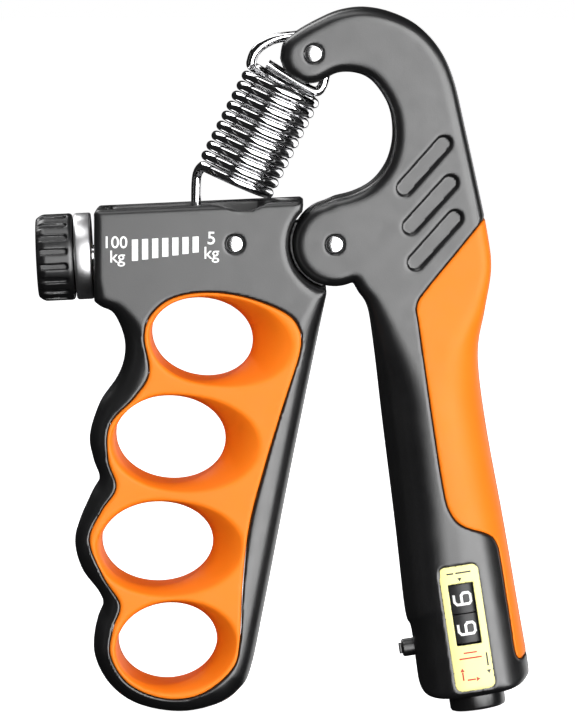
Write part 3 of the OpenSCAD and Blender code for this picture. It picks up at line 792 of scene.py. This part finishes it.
# strokes of the digits on a grid two wide and four high
DIGITS = {
    0: [[(0.4, 0), (1.6, 0), (2, 0.5), (2, 3.5), (1.6, 4), (0.4, 4), (0, 3.5), (0, 0.5), (0.4, 0)]],
    1: [[(0.4, 3.3), (1.1, 4), (1.1, 0)]],
    2: [[(0, 3.4), (0.4, 4), (1.6, 4), (2, 3.5), (2, 2.6), (0, 0), (2, 0)]],
    3: [[(0, 4), (2, 4), (1, 2.3), (1.6, 2.2), (2, 1.7), (2, 0.5), (1.6, 0), (0.4, 0), (0, 0.5)]],
    4: [[(1.5, 0), (1.5, 4), (0, 1.1), (2, 1.1)]],
    5: [[(2, 4), (0, 4), (0, 2.3), (1.6, 2.3), (2, 1.8), (2, 0.5), (1.6, 0), (0, 0)]],
    6: [[(1.8, 4), (0.5, 4), (0, 3.4), (0, 0.5), (0.4, 0), (1.6, 0), (2, 0.5), (2, 1.7), (1.6, 2.2),
         (0, 2.2)]],
    7: [[(0, 4), (2, 4), (0.7, 0)]],
    8: [[(0.4, 2.1), (0, 2.6), (0, 3.5), (0.4, 4), (1.6, 4), (2, 3.5), (2, 2.6), (1.6, 2.1),
         (0.4, 2.1), (0, 1.7), (0, 0.5), (0.4, 0), (1.6, 0), (2, 0.5), (2, 1.7), (1.6, 2.1)]],
    9: [[(0.2, 0), (1.5, 0), (2, 0.6), (2, 3.5), (1.6, 4), (0.4, 4), (0, 3.5), (0, 2.3), (0.4, 1.8),
         (2, 1.8)]]}


def on_axis(along):
    """The point on the counter's axis this far along it."""
    return counter_at + np.array(counter_axis) * along


def ribbon(points, width):
    """Flat strip along a polyline, mitred, as points and quads in its plane."""
    p = []
    for a, b in zip(np.array(points[:-1], float), np.array(points[1:], float)):
        pieces = max(2, int(np.linalg.norm(b - a) / RIBBON_STEP))
        p += [a + (b - a) * t for t in np.linspace(0, 1, pieces, endpoint=False)]
    p = np.array(p + [np.array(points[-1], float)])
    way = np.diff(p, axis=0)
    way /= np.linalg.norm(way, axis=1, keepdims=True)
    closed = np.allclose(p[0], p[-1])
    before = np.vstack([way[-1] if closed else way[0], way])
    after = np.vstack([way, way[0] if closed else way[-1]])
    mean = before + after
    mean /= np.linalg.norm(mean, axis=1, keepdims=True)
    normal = np.stack([-mean[:, 1], mean[:, 0]], 1)
    square = np.stack([-before[:, 1], before[:, 0]], 1)
    grow = 1 / np.clip(np.abs((normal * square).sum(1)), 0.5, 1)
    offset = normal * (width / 2 * grow)[:, None]
    count = len(p)
    quads = [(i, i + 1, count + i + 1, count + i) for i in range(count - 1)]
    return np.vstack([p + offset, p - offset]), quads


def digits_on_wheel(name, middle, shown):
    """Ten printed digits round a wheel, their tops to the right, the shown one in front."""
    verts, faces = [], []
    radius = WHEEL_R + WHEEL_LIFT
    for digit, strokes in DIGITS.items():
        turn = (digit - shown) * 360 / len(DIGITS)
        for stroke in strokes:
            points = [(x / 2 * DIGIT_WIDE - DIGIT_WIDE / 2, y - 2) for x, y in stroke]
            flat, quads = ribbon(points, DIGIT_STROKE)
            faces += [tuple(len(verts) + i for i in q) for q in quads]
            for across, up in flat:
                angle = math.radians(turn) + up * DIGIT_TALL / 4 / WHEEL_R
                around = np.array(counter_x) * radius * math.sin(angle)
                depth = np.array((0, -radius * math.cos(angle), 0))
                verts.append(on_axis(middle - across) + around + depth)
    return mesh_object(name, verts, faces, white_ink, smooth=False)


for node, side in (("units_wheel", -1), ("tens_wheel", 1)):
    middle = WINDOW[0] + side * (WHEEL_GAP + WHEEL_W / 2)
    rides(digits_on_wheel(node + "_digits", middle, 9), node)


def on_grip(u, w, lift):
    """The point on the palm grip's front at counter coordinates, lifted off it."""
    x = counter_at[0] + u * counter_x.x + w * counter_axis.x
    z = counter_at[2] + u * counter_x.z + w * counter_axis.z
    near, far = 0, -FAR
    for _ in range(30):
        mid = (near + far) / 2
        if palm_solid(np.array([x]), np.array([mid]), np.array([z]))[0] < 0:
            near = mid
        else:
            far = mid
    return np.array((x, near - lift, z))


def label_print(name, shapes, material):
    """Flat shapes, each a ribbon or a triangle, laid on the label."""
    verts, faces = [], []
    for points, quads in shapes:
        faces += [tuple(len(verts) + i for i in q) for q in quads]
        verts += [on_grip(u, w, LIFT) for u, w in points]
    rides(mesh_object(name, verts, faces, material, smooth=False), "palm_arm")


def triangle(u, w, size, turn):
    """A flat triangle about a point, turned by so many degrees."""
    angles = [math.radians(turn + k * 120) for k in range(3)]
    corners = [(u + size * math.cos(a), w + size * math.sin(a)) for a in angles]
    return np.array(corners), [(0, 1, 2)]


def rule(a, b):
    """A straight printed line."""
    return ribbon([a, b], RULE_WIDE)


label_print("label_marks_black", [
    triangle(0, 12.9, 0.6, -90), rule((-2.9, 14.4), (-1.3, 14.4)), rule((-0.8, 14.4), (2.9, 14.4)),
    rule((3.7, -5.4), (3.7, -8.6)), triangle(3.7, -9.9, 0.6, -90)], black_ink)
label_print("label_marks_red", [
    rule((-1.7, -4.9), (1.5, -4.9)), rule((-2.9, -6.2), (2.5, -6.2)),
    rule((-2.6, -11.4), (-2.6, -9.4)), triangle(-2.6, -9.0, 0.62, 90),
    rule((-1.7, -11.4), (0.3, -11.4)), triangle(0.8, -11.4, 0.62, 0)], red_ink)

PLUNGER_BOX = ((12, -3, -103), (24, 3, -92))
# steps of the plunger, each its radius, middle, half length and rounding
PLUNGER_STEPS = [(2.15, -13.45, 2.5, 0.4), (1.9, -15.6, 0.45, 0.2)]
PRONG_ENDS, PRONG_OUT, PRONG_HALF, PRONG_TALL = (-16.8, -15.4), 0.9, 0.45, 1.2
RESET_R = 6.7
RESET_CAP = [
    (-12.5, 0.01), (-12.5, RESET_R - 0.3), (-12.8, RESET_R), (-18.6, RESET_R),
    (-19.15, RESET_R - 0.3), (-19.4, RESET_R - 0.9), (-19.4, 0.01)]
RESET_END, RESET_START = -11.5, -8.9   # the reset spring's lower and upper end on the counter's axis
RESET_COIL_R, RESET_WIRE_R, RESET_TURNS = 3.25, 0.28, 2.5


def plunger_field(x, y, z):
    """The count button's plunger with its two prongs."""
    u, w = on_counter(x, z)
    w = w - BUTTON_AT
    r = np.hypot(y, w)
    parts = [smax(r - radius, np.abs(u - at) - half, edge) for radius, at, half, edge in PLUNGER_STEPS]
    for out in (-PRONG_OUT, PRONG_OUT):
        low = (PRONG_ENDS[0], out - PRONG_HALF, -PRONG_TALL)
        high = (PRONG_ENDS[1], out + PRONG_HALF, PRONG_TALL)
        parts.append(box_field((u, y, w), low, high, 0.2))
    return np.minimum(np.minimum(parts[0], parts[1]), np.minimum(parts[2], parts[3]))


moulding("count_plunger", "count_button", plunger_field, PLUNGER_BOX, black, step=0.16)
stands_for(lathe("reset_cap", RESET_CAP, counter_at, counter_axis, knob_black), "reset_knob")


def reset_coil():
    """The spring behind the reset knob, wound between its two ends with a little to spare."""
    spare = RESET_WIRE_R * 1.3
    points = []
    for share in np.linspace(0, 1, int(RESET_TURNS * 24)):
        turn = 2 * math.pi * RESET_TURNS * share
        across = np.array(counter_x) * math.cos(turn) + np.array((0, math.sin(turn), 0))
        along = RESET_END + spare + (RESET_START - RESET_END - 2 * spare) * share
        points.append(on_axis(along) + RESET_COIL_R * across)
    return tube("reset_coil", points, RESET_WIRE_R, steel, sides=10)


push_spring = reset_coil()
reaches(push_spring, on_axis(RESET_END), "reset_slider", on_axis(RESET_START), "palm_arm")
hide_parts("reset_spring")

# ---- scale on the finger handle ------------------------------------------------------------

# the bars: how many, the first one's left and top, their pitch, width and how much their ends rise
BARS, BAR_LEFT, BAR_TOP = 7, -48.2, 1.3
BAR_PITCH, BAR_WIDE, BAR_SLOPE = 2.405, 1.45, 0.07
# the first bar's height, and how each next one rises and shortens
BAR_TALL, BAR_RISE, BAR_LESS = 5.1, 0.115, 0.215


def printed(name, text, size, centre):
    """White lettering on the front face, for numbers and their unit."""
    data = bpy.data.curves.new(name, "FONT")
    data.body = text
    data.size = size * MM
    data.align_x = "CENTER"
    data.align_y = "CENTER"
    data.offset = 0.00003       # makes the strokes a little bolder
    word = bpy.data.objects.new(name, data)
    word.rotation_euler = (math.radians(90), 0, 0)
    word.location = PIVOT + Vector((centre[0], -ARM_HALF - LIFT, centre[1])) * MM
    bpy.context.scene.collection.objects.link(word)
    bpy.context.view_layer.update()
    mesh = bpy.data.meshes.new_from_object(word)
    mesh.transform(word.matrix_world)
    mesh.materials.clear()
    mesh.materials.append(white_ink)
    bpy.data.objects.remove(word)
    piece = bpy.data.objects.new(name, mesh)
    bpy.context.scene.collection.objects.link(piece)
    rides(piece, "finger_arm")


printed("scale_high", "100", 4.0, (-52.2, 0.5))
printed("scale_high_unit", "kg", 4.1, (-51.7, -2.9))
printed("scale_low", "5", 4.3, (-29.3, 1.5))
printed("scale_low_unit", "kg", 4.1, (-29.3, -2.0))
bars, quads = [], []
face = -ARM_HALF - LIFT
for i in range(BARS):
    left, right = BAR_LEFT + BAR_PITCH * i, BAR_LEFT + BAR_PITCH * i + BAR_WIDE
    top = BAR_TOP + BAR_RISE * i
    foot = top - (BAR_TALL - BAR_LESS * i)
    quads.append(tuple(range(len(bars), len(bars) + 4)))
    bars += [(left, face, foot), (right, face, foot + BAR_SLOPE), (right, face, top + BAR_SLOPE),
             (left, face, top)]
rides(mesh_object("scale_bars", bars, quads, white_ink, smooth=False), "finger_arm")

# ---- stage, lights and camera --------------------------------------------------------------

FLOOR = 9                       # half the floor's side, in metres from here on
floor_z = cad_box[0][2] - 0.0005
corners = [(-FLOOR, -FLOOR), (FLOOR, -FLOOR), (FLOOR, FLOOR), (-FLOOR, FLOOR)]
floor_mesh = bpy.data.meshes.new("floor")
floor_mesh.from_pydata([(x, y, floor_z) for x, y in corners], [], [(0, 1, 2, 3)])
floor = bpy.data.objects.new("floor", floor_mesh)
bpy.context.scene.collection.objects.link(floor)
paper = bpy.data.materials.new("pale paper")
paper.use_nodes = True
paper_shader = paper.node_tree.nodes["Principled BSDF"]
paper_shader.inputs["Base Color"].default_value = (0.9, 0.9, 0.9, 1)
paper_shader.inputs["Roughness"].default_value = 0.9
paper_shader.inputs["Emission Color"].default_value = (1, 1, 1, 1)
paper_shader.inputs["Emission Strength"].default_value = 1.0
floor_mesh.materials.append(paper)
floor.visible_glossy = False
floor.visible_diffuse = False


def soft_light(name, place, size, radiance, mirrored=True):
    """A rectangular area light aimed at the object, its brightness given as radiance."""
    data = bpy.data.lights.new(name, "AREA")
    data.shape = "RECTANGLE"
    data.size, data.size_y = size
    data.energy = radiance * math.pi * size[0] * size[1]
    lamp = bpy.data.objects.new(name, data)
    lamp.location = place
    lamp.rotation_euler = (-Vector(place)).to_track_quat("-Z", "Y").to_euler()
    lamp.visible_glossy = mirrored
    bpy.context.scene.collection.objects.link(lamp)


soft_light("front softbox", (0.48, -1.2, 0.02), (1.2, 1.6), 5.4)
soft_light("right strip", (1.13, -0.74, 0.0), (0.36, 1.0), 8)
soft_light("top box", (-0.35, -0.3, 1.25), (1.0, 0.5), 2.6)
soft_light("left strip", (-1.2, -0.5, 0.1), (0.05, 1.0), 0.8)
soft_light("left fill", (-0.9, -1.0, 0.3), (1.2, 1.2), 1.8, mirrored=False)
soft_light("rear box", (-0.7, 0.9, 1.2), (0.9, 0.9), 4)
soft_light("rear softbox", (0.9, 1.1, -0.1), (1.0, 1.2), 1.4)

world = bpy.data.worlds.new("studio")
world.use_nodes = True
bpy.context.scene.world = world
tree = world.node_tree
backdrop = tree.nodes["Background"]
backdrop.inputs["Color"].default_value = (1, 1, 1, 1)
backdrop.inputs["Strength"].default_value = 1.0
dim = tree.nodes.new("ShaderNodeBackground")
dim.inputs["Color"].default_value = (0.35, 0.35, 0.36, 1)
dim.inputs["Strength"].default_value = 0.04
mix = tree.nodes.new("ShaderNodeMixShader")
tree.links.new(tree.nodes.new("ShaderNodeLightPath").outputs["Is Camera Ray"], mix.inputs[0])
tree.links.new(dim.outputs[0], mix.inputs[1])
tree.links.new(backdrop.outputs[0], mix.inputs[2])
tree.links.new(mix.outputs[0], tree.nodes["World Output"].inputs["Surface"])

CAMERA_FAR = 1.6
CAMERA_RISE = 4                 # degrees
VIEW_TALL = 0.1738              # height of the view at the object
VIEW_MIDDLE = (-11.2, 0, -28.8) # in mm about the pivot
SENSOR = 36                     # mm
target = PIVOT + Vector(VIEW_MIDDLE) * MM
camera = bpy.data.objects.new("camera", bpy.data.cameras.new("camera"))
camera.data.sensor_width = SENSOR
camera.data.lens = SENSOR * CAMERA_FAR / VIEW_TALL
camera.data.clip_end = 50
rise = math.radians(CAMERA_RISE)
camera.location = target + CAMERA_FAR * Vector((0, -math.cos(rise), math.sin(rise)))
camera.rotation_euler = (math.radians(90 - CAMERA_RISE), 0, 0)
bpy.context.scene.collection.objects.link(camera)
bpy.context.scene.camera = camera
bpy.context.scene.view_settings.view_transform = "Standard"
